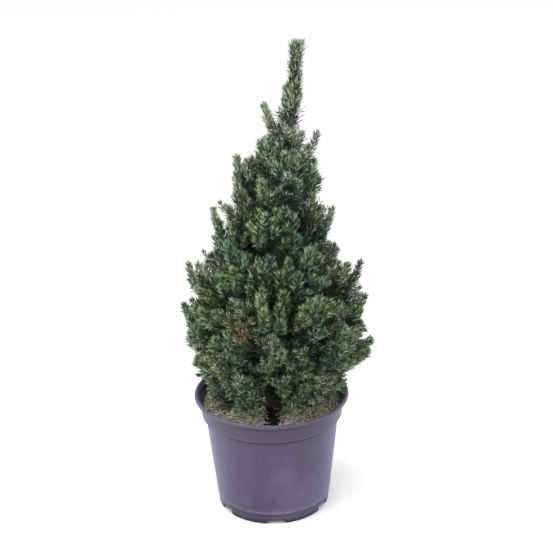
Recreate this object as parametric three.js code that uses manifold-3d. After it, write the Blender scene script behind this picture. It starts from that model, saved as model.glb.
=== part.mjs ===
import * as THREE from 'three';
import { mergeVertices } from 'three/addons/utils/BufferGeometryUtils.js';
import Module from 'manifold-3d';

// A dwarf Alberta spruce growing in a three-litre nursery pot, in millimetres, +Z up.
// The origin is on the pot's axis, on the ground that its flat underside stands on.

const clearance = 0.35; // left wherever two pieces meet
const sliver = 0.1; // details smaller than this are smoothed away after a cut
const massGap = 1.2; // how far a mass is grown outwards to cut its neighbours
const goldenShare = 0.618; // spreads numbered things evenly
const seedSteps = { heart: 101, tips: 31, firstTip: 7 }; // keep the streams of chance apart

const pot = {
  segments: 36,
  height: 149.5,
  rimRadius: 95.3,
  rimMouth: 91.8, // inner edge of the rim
  rimUnderside: 144.5,
  lip: 1.8, // radius of the rim's rounded edge
  mouthRound: [1.4, 1.2], // how far in and down the mouth's inner edge is rounded
  collarTop: 88.4, // collar radius under the rim
  collarFoot: 86.9, // collar radius at its sharp lower edge
  collarFootZ: 122.5,
  collarFillet: [0.6, 1.5], // height of the slopes under the collar and at its top
  bodyTop: 82.4,
  bodyFoot: 70.8,
  bodyFootZ: 13.6, // the fine ring above the foot band
  bandTop: 69.5,
  bandTopZ: 12.2,
  footRadius: 66.8,
  footRound: 2.4,
  wall: 1.8,
  floor: 9,
  floorCorner: 3, // size of the slope where the inner wall meets the floor
  stepBelow: 3, // the inner wall steps out from this far below the collar's edge
  stepAbove: 2, // to this far above it
  stepTop: 3, // and the collar's inner wall ends this far under the rim
  notches: 6,
  notchWidth: 20,
  notchHeight: 6.5,
  notchReach: 34, // how far in from the foot's edge a drainage notch runs
  notchPast: 10, // and how far its cut runs on outside the foot
  notchTurn: 2, // degrees that the front notch sits to the right
};

const soil = {
  edgeZ: 129,
  rings: 4,
  lump: 2.2, // height of the hollows and lumps of its surface
  // its waves, in radians per mm: along x and where it starts, along y, and a slanting one with its share
  waves: { slow: [0.11, 1.3], cross: [0.09, -0.4], slant: [0.05, -0.21, 0.6] },
  trunkPad: 17, // radius of the level ground round the trunk
  padFade: 16, // over which the lumps begin
  groundZ: 130,
};

const trunk = {
  sides: 8,
  steps: 14,
  footRadius: 7.2,
  tipRadius: 0.9,
  flare: 5.5, // how much wider the root flare is than the stem above it
  flareHeight: 9,
  flareLobes: 5,
  lobe: { depth: 0.16, fade: 1.6, turn: 0.6 },
  taper: 0.85, // under 1, the stem thins quickly first
  sliceCrowding: 1.25, // over 1, slices are closer together at the flare
  topZ: 579,
  // x and y of the stem at a few heights: upright below, leaning to the right above
  lean: [[soil.groundZ, 0, 0], [220, 1.5, 2], [310, 3.5, 3], [380, 8, 2], [430, 15, 1],
    [489, 27.5, 0], [540, 34.5, 0], [579, 38, 0.5]],
};

// A bough's end is this far inside its mass, its middle sags, and every other one starts higher.
const bough = { sides: 5, steps: 3, footRadius: 2.9, endRadius: 1.5, entry: 7, sag: 3, stagger: 9 };

// A mass is an egg with corners pulled out to the tips of its shoots.
const egg = {
  detail: 1, // how finely its surface is divided
  rise: 0.75, // radians that its long axis leans up from level
  shoulder: 34, // degrees round a tip that are drawn out with it
  shoulderPull: 0.2, // and how far, as a share of the way
  swells: [[0.13, 3], [0.11, 4], [0.1, 3.5]], // height and number of its swellings along each axis
  swellTurn: 6,
};

// Radius of the crown about its middle line, by height. The line is the stem, but moved
// to the right below, where the crown is fuller on that side.
const crownShift = { amount: 5, fromZ: 330, toZ: 400 };
const crownOutline = [[140, 78], [158, 88], [176, 99], [200, 109], [230, 110], [270, 109], [308, 99],
  [332, 78], [362, 70], [390, 61], [424, 51], [455, 43], [480, 30], [498, 17]];

// How the masses of a tier and their shoots are dealt out.
const whorl = {
  shoots: 6,
  sectorShare: 0.86, // of a mass's share of the circle that its own shoots spread over
  firstTurn: 0.31,
  heightScatter: 0.8, // of one step between shoots
  heartScatter: 12,
  reach: [0.91, 0.11], // least share of the outline's radius, and what chance adds to it
};

// Each tier is a whorl of foliage masses. Its heart is where a mass is thickest, its core
// the half-lengths of that thick part outwards, sideways and across, and its shoots end on
// the crown's outline between the two heights of tips.
const tiers = [
  {
    name: 'top', count: 3, turn: 0.3, heartZ: 419, reach: 21, core: [31, 25, 21],
    tips: [400, 474],
  },
  {
    name: 'upper', count: 4, turn: 0.0, heartZ: 367, reach: 32, core: [32, 31, 25],
    tips: [345, 420],
  },
  {
    name: 'shoulder', count: 4, turn: 0.5, heartZ: 313, reach: 43, core: [36, 38, 27],
    tips: [296, 368], bough: 262,
  },
  {
    name: 'middle', count: 6, turn: 0.12, heartZ: 264, reach: 63, core: [33, 35, 27],
    tips: [246, 318], bough: 216,
  },
  {
    name: 'low', count: 7, turn: 0.4, heartZ: 214, reach: 66, core: [32, 32, 25],
    tips: [196, 262], bough: 178,
  },
  {
    name: 'skirt', count: 6, turn: 0.05, heartZ: 172, reach: 61, core: [28, 33, 22],
    tips: [151, 208], bough: 148,
  },
];

// Shoots that stand out of the outline: tier, degrees round from +X, radius and height.
const strays = [
  ['skirt', 184, 91, 178], ['skirt', 4, 122, 196], ['skirt', -14, 108, 172],
  ['low', 176, 99, 208], ['low', 2, 129, 213], ['low', -5, 120, 233], ['low', 186, 107, 258],
  ['middle', 178, 97, 316], ['middle', 3, 118, 272], ['middle', -4, 114, 317],
  ['upper', 178, 67, 387], ['upper', 2, 79, 388], ['upper', 20, 66, 392],
  ['top', 182, 41, 424], ['top', 176, 37, 453], ['top', -2, 68, 420],
];

const peak = {
  heartZ: 458,
  core: [20, 20, 26],
  lean: 0.1,
  seed: 77,
  // x, y and height of the shoots round the foot of the leader
  shoots: [[64, 2, 479], [45, -9, 478], [5, 8, 474], [25, 33, 482], [22, -31, 486], [44, -33, 468],
    [14, 24, 476]],
  whip: { startZ: 466, bend: [8, -3, 482], tip: [-5, -2, 513], baseRadius: 5, tipRadius: 4.5 },
};

const leader = {
  sides: 9,
  steps: 8,
  bottomZ: 487,
  topZ: 586,
  radii: [8, 12, 12.5, 12, 10.5, 10, 9.5, 8.5, 4],
  ripple: { depth: 0.1, count: 3, twist: 17 },
};

// The bare patch of soil at the front left, kept open from the skirt down to the ground.
const wateringGap = { low: [-58, -67, 120], high: [-26, -40, 151] };

// The space left open over the rim and the soil: how far over and inside the rim, and above the ground.
const openRim = { above: 2, inside: 6, ground: 6, fromZ: 100, radius: 130 };

const materials = {
  pot: { color: 0x665f74, roughness: 0.55, metalness: 0 },
  soil: { color: 0x4a4232, roughness: 1, metalness: 0 },
  bark: { color: 0x5a4a38, roughness: 0.9, metalness: 0 },
  foliage: { color: 0x42513a, roughness: 0.75, metalness: 0 },
};

const wasm = await Module();
wasm.setup();

const model = new THREE.Group();

function addPiece(name, geometry, material) {
  const mesh = new THREE.Mesh(geometry, new THREE.MeshStandardMaterial(materials[material]));
  mesh.name = name;
  model.add(mesh);
}

// A repeatable stream of numbers between 0 and 1.
function seededChance(seed) {
  let state = seed >>> 0;
  return () => {
    state = (state + 0x6d2b79f5) >>> 0;
    let mixed = Math.imul(state ^ (state >>> 15), state | 1);
    mixed ^= mixed + Math.imul(mixed ^ (mixed >>> 7), mixed | 61);
    return ((mixed ^ (mixed >>> 14)) >>> 0) / 4294967296;
  };
}

// The value at z of a list whose rows are [z, value, ...], read between its rows.
function readBetween(rows, z, column = 1) {
  let upper = rows.findIndex((row) => row[0] >= z);
  if (upper === -1) upper = rows.length - 1;
  const [low, high] = [rows[Math.max(upper - 1, 0)], rows[Math.max(upper, 1)]];
  const share = THREE.MathUtils.clamp((z - low[0]) / (high[0] - low[0]), 0, 1);
  return THREE.MathUtils.lerp(low[column], high[column], THREE.MathUtils.smoothstep(share, -0.2, 1.2));
}

function bareCopy(geometry) {
  const bare = geometry.clone();
  bare.deleteAttribute('normal');
  bare.deleteAttribute('uv');
  return bare;
}

function toSolid(geometry) {
  const merged = mergeVertices(bareCopy(geometry), 1e-4);
  return new wasm.Manifold(new wasm.Mesh({
    numProp: 3,
    vertProperties: Float32Array.from(merged.attributes.position.array),
    triVerts: Uint32Array.from(merged.index.array),
  }));
}

function toGeometry(solid) {
  const { vertProperties, triVerts } = solid.getMesh();
  const geometry = new THREE.BufferGeometry();
  geometry.setAttribute('position', new THREE.BufferAttribute(Float32Array.from(vertProperties), 3));
  geometry.setIndex(new THREE.BufferAttribute(Uint32Array.from(triVerts), 1));
  geometry.computeVertexNormals();
  return geometry;
}

function joined(solids) {
  return solids.reduce((whole, solid) => whole.add(solid));
}

// The biggest of the bodies that a cut leaves, without slivers.
function biggestBody(solid) {
  const bodies = solid.simplify(sliver).decompose();
  return bodies.reduce((best, body) => (body.volume() > best.volume() ? body : best));
}

function polar(degrees, radius, z) {
  const angle = THREE.MathUtils.degToRad(degrees);
  return new THREE.Vector3(radius * Math.cos(angle), radius * Math.sin(angle), z);
}

// A turned body: its profile of [radius, z] revolved about the Z axis, facets in line with the front notch.
function turned(profile) {
  const points = profile.map(([radius, z]) => new THREE.Vector2(radius, z));
  const turn = THREE.MathUtils.degToRad(pot.notchTurn);
  return new THREE.LatheGeometry(points, pot.segments).rotateX(Math.PI / 2).rotateZ(turn);
}

// Points [radius, z] on an arc in the profile plane, from one angle to another in degrees.
function arc(radius, z, size, from, to, steps) {
  return Array.from({ length: steps + 1 }, (_, step) => {
    const angle = THREE.MathUtils.degToRad(from + ((to - from) * step) / steps);
    return [radius + size * Math.cos(angle), z + size * Math.sin(angle)];
  });
}

// The pot's inner wall radius at a height.
function innerRadius(z) {
  const share = (z - pot.bodyFootZ) / (pot.collarFootZ - pot.bodyFootZ);
  return THREE.MathUtils.lerp(pot.bodyFoot, pot.bodyTop, share) - pot.wall;
}

// The collar's inner wall radius at a height.
function collarInside(z) {
  const [low, high] = [pot.collarFootZ + pot.stepAbove, pot.rimUnderside - pot.stepTop];
  return THREE.MathUtils.mapLinear(z, low, high, pot.collarFoot, pot.collarTop) - pot.wall;
}

function makePot() {
  const { footRound: round, lip, floorCorner, mouthRound, collarFillet } = pot;
  const innerFloor = innerRadius(pot.floor + floorCorner);
  const stepLowZ = pot.collarFootZ - pot.stepBelow;
  const profile = [
    [0, 0],
    ...arc(pot.footRadius, round, round, -90, 0, 2),
    [pot.bandTop, pot.bandTopZ],
    [pot.bodyFoot, pot.bodyFootZ],
    [pot.bodyTop, pot.collarFootZ - collarFillet[0]],
    [pot.collarFoot, pot.collarFootZ],
    [pot.collarTop, pot.rimUnderside - collarFillet[1]],
    ...arc(pot.rimRadius - lip, pot.rimUnderside + lip, lip, -90, 0, 1),
    ...arc(pot.rimRadius - lip, pot.height - lip, lip, 0, 90, 2),
    [pot.rimMouth, pot.height],
    [pot.rimMouth - mouthRound[0], pot.height - mouthRound[1]],
    [pot.collarTop - pot.wall, pot.rimUnderside - pot.stepTop],
    [pot.collarFoot - pot.wall, pot.collarFootZ + pot.stepAbove],
    [innerRadius(stepLowZ), stepLowZ],
    [innerFloor, pot.floor + floorCorner],
    [innerFloor - floorCorner, pot.floor],
    [0, pot.floor],
  ];
  const notchLength = pot.notchReach + pot.notchPast;
  const notchCentre = pot.footRadius - pot.notchReach + notchLength / 2;
  const cuts = Array.from({ length: pot.notches }, (_, index) => {
    const box = new THREE.BoxGeometry(notchLength, pot.notchWidth, pot.notchHeight * 2);
    box.translate(notchCentre, 0, 0);
    box.rotateZ(THREE.MathUtils.degToRad(pot.notchTurn - 90 + (index * 360) / pot.notches));
    return toSolid(box);
  });
  return toSolid(turned(profile)).subtract(joined(cuts));
}

// Soil surface height: low lumps and hollows, level where the trunk stands.
function soilHeight(x, y) {
  const radius = Math.hypot(x, y);
  const { slow, cross, slant } = soil.waves;
  const lumps = Math.sin(x * slow[0] + slow[1]) * Math.cos(y * cross[0] + cross[1])
    + slant[2] * Math.sin(x * slant[0] + y * slant[1]);
  const away = THREE.MathUtils.smoothstep(radius, soil.trunkPad, soil.trunkPad + soil.padFade);
  return THREE.MathUtils.lerp(soil.groundZ, soil.edgeZ + soil.lump * lumps, away);
}

function makeSoil() {
  const floorZ = pot.floor + clearance;
  const cornerZ = pot.floor + pot.floorCorner;
  const stepLowZ = pot.collarFootZ - pot.stepBelow;
  const stepHighZ = pot.collarFootZ + pot.stepAbove;
  const edge = collarInside(soil.edgeZ) - clearance;
  const profile = [
    [0, floorZ],
    [innerRadius(cornerZ) - pot.floorCorner - clearance, floorZ],
    [innerRadius(cornerZ) - clearance, cornerZ + clearance / 2],
    [innerRadius(stepLowZ) - clearance, stepLowZ + clearance / 2],
    [collarInside(stepHighZ) - clearance, stepHighZ + clearance / 2],
    [edge, soil.edgeZ],
  ];
  for (let ring = 1; ring < soil.rings; ring += 1) {
    profile.push([edge * (1 - ring / soil.rings), soil.edgeZ]);
  }
  profile.push([0, soil.edgeZ]);
  const geometry = turned(profile);
  const places = geometry.attributes.position;
  for (let index = 0; index < places.count; index += 1) {
    if (places.getZ(index) > stepHighZ + 1) {
      places.setZ(index, soilHeight(places.getX(index), places.getY(index)));
    }
  }
  return toSolid(geometry);
}

function stemX(z) {
  return readBetween(trunk.lean, z, 1);
}

function stemY(z) {
  return readBetween(trunk.lean, z, 2);
}

function middleX(z) {
  return stemX(z) + crownShift.amount * (1 - THREE.MathUtils.smoothstep(z, crownShift.fromZ, crownShift.toZ));
}

// Stem radius: an even taper, with the root flare dying away above the ground.
function stemRadius(z) {
  const share = (z - soil.groundZ) / (trunk.topZ - soil.groundZ);
  const flare = trunk.flare * Math.exp(-(z - soil.groundZ) / trunk.flareHeight);
  return THREE.MathUtils.lerp(trunk.footRadius, trunk.tipRadius, share ** trunk.taper) + flare;
}

// The stem as level slices, each one a ring round the leaning centre line.
function makeTrunk(spare = 0) {
  const geometry = new THREE.CylinderGeometry(1, 1, 1, trunk.sides, trunk.steps).rotateX(Math.PI / 2);
  const places = geometry.attributes.position;
  const bottom = soil.groundZ + clearance - spare;
  const top = trunk.topZ + spare;
  for (let index = 0; index < places.count; index += 1) {
    const share = (places.getZ(index) + 0.5) ** trunk.sliceCrowding;
    const z = THREE.MathUtils.lerp(bottom, top, share);
    const angle = Math.atan2(places.getY(index), places.getX(index));
    const fade = Math.exp(-(z - soil.groundZ) / (trunk.flareHeight * trunk.lobe.fade));
    const lobes = 1 + trunk.lobe.depth * fade * Math.cos(trunk.flareLobes * angle + trunk.lobe.turn);
    const onAxis = Math.hypot(places.getX(index), places.getY(index)) < 0.5;
    const radius = onAxis ? 0 : stemRadius(z) * lobes + spare;
    places.setXYZ(index, stemX(z) + radius * Math.cos(angle), stemY(z) + radius * Math.sin(angle), z);
  }
  return toSolid(geometry);
}

// A round limb along a curve, its radius running from one end's to the other's.
function limb(curve, startRadius, endRadius, sides, steps) {
  const geometry = new THREE.CylinderGeometry(1, 1, 1, sides, steps);
  const frames = curve.computeFrenetFrames(steps);
  const places = geometry.attributes.position;
  for (let index = 0; index < places.count; index += 1) {
    const share = places.getY(index) + 0.5;
    const radius = THREE.MathUtils.lerp(startRadius, endRadius, share);
    const frame = Math.round(share * steps);
    const point = curve.getPointAt(share);
    point.addScaledVector(frames.normals[frame], places.getZ(index) * radius);
    point.addScaledVector(frames.binormals[frame], places.getX(index) * radius);
    places.setXYZ(index, point.x, point.y, point.z);
  }
  return toSolid(geometry);
}

// The egg's corners: its long axis leans outwards and up, and its surface is uneven.
function eggCorners(heart, facing, rise, core, seed, spare) {
  const chance = seededChance(seed);
  const starts = egg.swells.map(() => chance() * egg.swellTurn);
  const geometry = mergeVertices(bareCopy(new THREE.IcosahedronGeometry(1, egg.detail)));
  const places = geometry.attributes.position;
  const turn = new THREE.Euler(0, -rise, facing, 'ZYX');
  for (let index = 0; index < places.count; index += 1) {
    const point = new THREE.Vector3().fromBufferAttribute(places, index);
    const swell = egg.swells.reduce((sum, [height, count], axis) => (
      sum + height * Math.sin(point.getComponent(axis) * count + starts[axis])), 1);
    point.multiply(new THREE.Vector3(...core)).multiplyScalar(swell);
    point.setLength(point.length() + spare);
    point.applyEuler(turn).add(heart);
    places.setXYZ(index, point.x, point.y, point.z);
  }
  return geometry;
}

// Draws out the corner that faces each tip until it is there, and the ones round it part way.
function drawOutTips(geometry, heart, tips, spare) {
  const places = geometry.attributes.position;
  const corners = Array.from({ length: places.count }, (_, index) => (
    new THREE.Vector3().fromBufferAttribute(places, index).sub(heart)));
  const free = new Set(corners.keys());
  const shoulder = THREE.MathUtils.degToRad(egg.shoulder);
  const ends = tips.map((tip) => {
    const arm = tip.clone().sub(heart);
    arm.setLength(arm.length() + spare);
    const nearest = [...free].reduce((best, index) => (
      corners[index].angleTo(arm) < corners[best].angleTo(arm) ? index : best));
    free.delete(nearest);
    return { arm, nearest };
  });
  const drawn = corners.map((corner, index) => {
    const own = ends.find((end) => end.nearest === index);
    if (own) return own.arm;
    const near = ends.filter(({ arm }) => corner.angleTo(arm) < shoulder && arm.length() > corner.length());
    return near.reduce((point, { arm }) => (
      point.setLength(THREE.MathUtils.lerp(point.length(), arm.length(), egg.shoulderPull))), corner.clone());
  });
  drawn.forEach((point, index) => {
    point.add(heart);
    places.setXYZ(index, point.x, point.y, point.z);
  });
  return toSolid(geometry);
}

// Where a mass's own shoots end: spread over its share of the crown's outline.
function shootTips(tier, facing, seed) {
  const chance = seededChance(seed * seedSteps.tips + seedSteps.firstTip);
  const sector = (360 / tier.count) * whorl.sectorShare;
  return Array.from({ length: whorl.shoots }, (_, index) => {
    const share = (index + chance() * whorl.heightScatter) / whorl.shoots;
    const height = THREE.MathUtils.lerp(tier.tips[0], tier.tips[1], share);
    const spread = ((index * goldenShare + whorl.firstTurn) % 1) - 0.5;
    const reach = readBetween(crownOutline, height) * (whorl.reach[0] + whorl.reach[1] * chance());
    const tip = polar(facing + spread * sector, reach, height);
    return tip.add(new THREE.Vector3(middleX(height), stemY(height), 0));
  });
}

function turnBetween(a, b) {
  return Math.abs(THREE.MathUtils.euclideanModulo(a - b + 180, 360) - 180);
}

// What every mass of every tier is made from, worked out before any is built.
function planMasses() {
  const plans = [];
  for (const tier of tiers) {
    for (let index = 0; index < tier.count; index += 1) {
      const facing = ((index + tier.turn) * 360) / tier.count;
      const seed = plans.length + 1;
      const chance = seededChance(seed * seedSteps.heart);
      const heart = polar(facing, tier.reach, tier.heartZ + (chance() - 0.5) * whorl.heartScatter);
      heart.add(new THREE.Vector3(middleX(tier.heartZ), stemY(tier.heartZ), 0));
      plans.push({
        name: `${tier.name}_${index + 1}`, tier, facing, seed, heart,
        tips: shootTips(tier, facing, seed),
      });
    }
  }
  for (const [tierName, degrees, radius, height] of strays) {
    const sameTier = plans.filter((plan) => plan.tier.name === tierName);
    const nearest = sameTier.reduce((best, plan) => (
      turnBetween(plan.facing, degrees) < turnBetween(best.facing, degrees) ? plan : best));
    nearest.tips.push(polar(degrees, radius, height));
  }
  return plans;
}

function massSolid(plan, spare) {
  const { heart, tier, facing, seed, tips } = plan;
  const radians = THREE.MathUtils.degToRad(facing);
  return drawOutTips(eggCorners(heart, radians, egg.rise, tier.core, seed, spare), heart, tips, spare);
}

// A bough rises from the stem to a little way inside its mass.
function boughSolid(plan, spare) {
  const { heart, tier, facing, seed } = plan;
  const startZ = tier.bough + (seed % 2) * bough.stagger;
  const start = new THREE.Vector3(stemX(startZ), stemY(startZ), startZ);
  const inwards = start.clone().sub(heart).setLength(Math.min(...tier.core) - bough.entry);
  const end = heart.clone().add(inwards);
  const middle = start.clone().lerp(end, 0.5).add(polar(facing, bough.sag, -bough.sag));
  const along = end.clone().sub(middle).setLength(spare);
  const curve = new THREE.CatmullRomCurve3([start, middle, end.add(along)]);
  return limb(curve, bough.footRadius + spare, bough.endRadius + spare, bough.sides, bough.steps);
}

function peakSolid(spare) {
  const z = peak.heartZ;
  const heart = new THREE.Vector3(stemX(z), stemY(z), z);
  const tips = peak.shoots.map(([x, y, height]) => new THREE.Vector3(x, y, height));
  const body = drawOutTips(eggCorners(heart, 0, peak.lean, peak.core, peak.seed, spare), heart, tips, spare);
  const { startZ, bend, tip, baseRadius, tipRadius } = peak.whip;
  const start = new THREE.Vector3(stemX(startZ), stemY(startZ), startZ);
  const curve = new THREE.CatmullRomCurve3([start, new THREE.Vector3(...bend), new THREE.Vector3(...tip)]);
  return body.add(limb(curve, baseRadius + spare, tipRadius + spare, bough.sides, bough.steps));
}

// The needles of the leader: an uneven column round the top of the stem.
function leaderSolid(spare) {
  const { radii, ripple } = leader;
  const geometry = new THREE.CylinderGeometry(1, 1, 1, leader.sides, leader.steps).rotateX(Math.PI / 2);
  const places = geometry.attributes.position;
  for (let index = 0; index < places.count; index += 1) {
    const share = places.getZ(index) + 0.5;
    const z = THREE.MathUtils.lerp(leader.bottomZ - spare, leader.topZ + spare, share);
    const angle = Math.atan2(places.getY(index), places.getX(index));
    const onAxis = Math.hypot(places.getX(index), places.getY(index)) < 0.5;
    const uneven = 1 + ripple.depth * Math.sin(angle * ripple.count + share * ripple.twist);
    const radius = onAxis ? 0 : radii[Math.round(share * leader.steps)] * uneven + spare;
    places.setXYZ(index, stemX(z) + radius * Math.cos(angle), stemY(z) + radius * Math.sin(angle), z);
  }
  return toSolid(geometry);
}

// What no foliage may enter: the rim with the soil inside it, and the watering gap.
function keepOut() {
  const { fromZ, radius } = openRim;
  const rimTop = pot.height + openRim.above;
  const mouth = pot.rimMouth - openRim.inside;
  const ground = soil.groundZ + openRim.ground;
  const rim = turned([
    [0, fromZ], [radius, fromZ], [radius, rimTop],
    [mouth, rimTop], [mouth, ground], [0, ground],
  ]);
  const [low, high] = [new THREE.Vector3(...wateringGap.low), new THREE.Vector3(...wateringGap.high)];
  const size = high.clone().sub(low);
  const centre = low.add(high).multiplyScalar(0.5);
  const gap = new THREE.BoxGeometry(size.x, size.y, size.z).translate(centre.x, centre.y, centre.z);
  return joined([toSolid(rim), toSolid(gap)]);
}

function makeCrown() {
  const plans = planMasses();
  const limbs = plans.filter((plan) => plan.tier.bough);
  const stem = makeTrunk(clearance);
  let boughRoom = stem;
  for (const plan of limbs) {
    const solid = biggestBody(boughSolid(plan, 0).subtract(boughRoom));
    addPiece(`bough_${plan.name}`, toGeometry(solid), 'bark');
    boughRoom = boughRoom.add(boughSolid(plan, clearance));
  }
  let taken = joined([boughRoom, keepOut()]);
  const masses = [
    { name: 'leader', solid: leaderSolid },
    { name: 'peak', solid: peakSolid },
    ...plans.map((plan) => ({ name: plan.name, solid: (spare) => massSolid(plan, spare) })),
  ];
  for (const mass of masses) {
    const solid = biggestBody(mass.solid(0).subtract(taken));
    addPiece(`foliage_${mass.name}`, toGeometry(solid), 'foliage');
    taken = taken.add(mass.solid(massGap));
  }
}

addPiece('pot', toGeometry(makePot()), 'pot');
addPiece('soil', toGeometry(makeSoil()), 'soil');
addPiece('trunk', toGeometry(makeTrunk()), 'bark');
makeCrown();

export default model;
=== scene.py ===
import math
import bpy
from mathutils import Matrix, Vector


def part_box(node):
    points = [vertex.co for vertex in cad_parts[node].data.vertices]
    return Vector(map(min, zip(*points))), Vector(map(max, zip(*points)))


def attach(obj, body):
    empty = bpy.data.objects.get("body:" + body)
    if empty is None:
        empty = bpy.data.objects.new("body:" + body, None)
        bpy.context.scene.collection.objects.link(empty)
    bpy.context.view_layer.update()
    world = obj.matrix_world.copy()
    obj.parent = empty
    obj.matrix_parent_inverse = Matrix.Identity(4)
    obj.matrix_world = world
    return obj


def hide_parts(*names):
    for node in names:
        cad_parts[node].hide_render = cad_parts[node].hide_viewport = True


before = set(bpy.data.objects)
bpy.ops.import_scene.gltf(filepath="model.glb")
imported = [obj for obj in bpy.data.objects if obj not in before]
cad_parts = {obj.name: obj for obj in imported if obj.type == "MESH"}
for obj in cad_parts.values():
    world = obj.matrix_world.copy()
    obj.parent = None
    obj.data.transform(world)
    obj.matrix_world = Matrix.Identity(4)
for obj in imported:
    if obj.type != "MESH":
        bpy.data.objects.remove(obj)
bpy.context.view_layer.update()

from types import SimpleNamespace

import bpy
import numpy as np
from mathutils import Matrix, Vector

mm = 0.001               # every size below is in millimetres, and meshes are made in metres


# colours and materials

def toLinear(hexColour):
    # sRGB hex to linear: c / 12.92 under 0.04045, otherwise ((c + 0.055) / 1.055) ^ 2.4
    parts = [int(hexColour[i:i + 2], 16) / 255 for i in (1, 3, 5)]
    return [c / 12.92 if c <= 0.04045 else ((c + 0.055) / 1.055) ** 2.4 for c in parts] + [1.0]


def setUp(tree, node, settings):
    # a setting is a socket to link from, an input's value or hex colour, or one of the node's own properties
    for key, value in settings.items():
        if isinstance(value, bpy.types.NodeSocket):
            tree.links.new(value, node.inputs[key])
        elif isinstance(key, int) or key in node.inputs:
            isColour = isinstance(value, str) and value.startswith("#")
            node.inputs[key].default_value = toLinear(value) if isColour else value
        else:
            setattr(node, key, value)


def addNode(tree, kind, settings=()):
    # one shader node with its settings and links, or its inputs in their order; gives back its outputs
    node = tree.nodes.new("ShaderNode" + kind)
    setUp(tree, node, settings if isinstance(settings, dict) else dict(enumerate(settings)))
    return node.outputs


def newMaterial(name):
    # a material, its node tree and its shader
    material = bpy.data.materials.new(name)
    material.use_nodes = True
    return material, material.node_tree, material.node_tree.nodes["Principled BSDF"]


def plainMaterial(name, colour, roughness, **more):
    # one colour and roughness all over, and any more of the shader's inputs
    material, tree, shader = newMaterial(name)
    setUp(tree, shader, {"Base Color": colour, "Roughness": roughness, **more})
    return material


# meshes from arrays

def makePiece(name, points, faces, materials, replaced=(), smooth=True, materialIndex=None):
    # points is n x 3 in millimetres; faces is a list of arrays of corner numbers, three or four to a row
    mesh = bpy.data.meshes.new(name)
    corners = np.concatenate([block.ravel() for block in faces]).astype(np.int32)
    sizes = np.concatenate([np.full(len(block), block.shape[1]) for block in faces])
    starts = np.concatenate([[0], np.cumsum(sizes)[:-1]]).astype(np.int32)
    mesh.vertices.add(len(points))
    mesh.vertices.foreach_set("co", (np.asarray(points) * mm).astype(np.float32).ravel())
    mesh.loops.add(len(corners))
    mesh.loops.foreach_set("vertex_index", corners)
    mesh.polygons.add(len(sizes))
    mesh.polygons.foreach_set("loop_start", starts)
    mesh.polygons.foreach_set("use_smooth", np.full(len(sizes), smooth))
    if materialIndex is not None:
        mesh.polygons.foreach_set("material_index", materialIndex.astype(np.int32))
    mesh.update(calc_edges=True)
    for material in materials:
        mesh.materials.append(material)
    piece = bpy.data.objects.new(name, mesh)
    bpy.context.scene.collection.objects.link(piece)
    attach(piece, "root")
    if replaced:
        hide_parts(*replaced)
    return piece


def ringFaces(rows, around):
    # quads between rows of points, each row closed into a ring
    i = np.arange(rows - 1)[:, None] * around
    j = np.arange(around)
    j2 = (j + 1) % around
    return np.stack([i + j, i + j2, i + around + j2, i + around + j], -1).reshape(-1, 4)


def unit(vectors):
    # the same ways at length 1
    return vectors / np.maximum(np.linalg.norm(vectors, axis=-1, keepdims=True), 1e-9)


def sweep(paths, radii, sides):
    # tubes: point = path + radius * (cos a * side + sin a * other), a going round; paths is n x steps x 3 and
    # radii n x steps, or n x steps x sides. Each end closes on a point on its path. Returns points and faces.
    count, steps = paths.shape[:2]
    along = unit(np.gradient(paths, axis=1))
    mainWay = unit(paths[:, -1] - paths[:, 0])
    helper = np.where(np.abs(mainWay[:, 2:3]) > 0.7, [[1.0, 0.0, 0.0]], [[0.0, 0.0, 1.0]])[:, None, :]
    side = unit(np.cross(along, helper))
    other = np.cross(along, side)
    angle = circle(sides)
    spread = np.broadcast_to(radii[:, :, None] if radii.ndim == 2 else radii, (count, steps, sides))
    rings = paths[:, :, None] + spread[..., None] * (
        np.cos(angle)[:, None] * side[:, :, None] + np.sin(angle)[:, None] * other[:, :, None])
    points = np.concatenate([rings.reshape(count, -1, 3), paths[:, :1], paths[:, -1:]], axis=1)
    perTube = steps * sides + 2
    walls = ringFaces(steps, sides)
    j = np.arange(sides)
    j2 = (j + 1) % sides
    firstCap = np.stack([j2, j, np.full(sides, steps * sides)], -1)
    lastRow = (steps - 1) * sides
    lastCap = np.stack([lastRow + j, lastRow + j2, np.full(sides, steps * sides + 1)], -1)
    shift = (np.arange(count) * perTube)[:, None, None]
    quads = (walls[None] + shift).reshape(-1, 4)
    triangles = (np.concatenate([firstCap, lastCap])[None] + shift).reshape(-1, 3)
    return points.reshape(-1, 3), [quads, triangles]


def onCurve(a, b, c, share):
    # a place on a quadratic curve, (1-s)^2 a + 2 s (1-s) b + s^2 c, and the curve's direction there
    place = (1 - share) ** 2 * a + 2 * share * (1 - share) * b + share ** 2 * c
    return place, unit((1 - share) * (b - a) + share * (c - b))


def bezier(a, b, c, share):
    # n quadratic curves, each at the same k shares
    return onCurve(a[:, None], b[:, None], c[:, None], share[None, :, None])[0]


def heading(turn, rise=0):
    # the way out at turn radians round the z axis, rising by rise for each 1 outwards
    return np.stack([np.cos(turn), np.sin(turn), rise + 0 * turn], -1)


def circle(sides):
    # turns in radians of so many even places round
    return np.arange(sides) * 2 * np.pi / sides


def smoothStep(x, low, high):
    # from 0 at low to 1 at high, as t^2 (3 - 2t)
    t = np.clip((x - low) / (high - low), 0, 1)
    return t * t * (3 - 2 * t)


# camera, lights and floor

view = {"target": (9.2, 0, 301), "distance": 1600, "pitch": 21.9, "roll": -1.24, "lens": 87.1}

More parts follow.
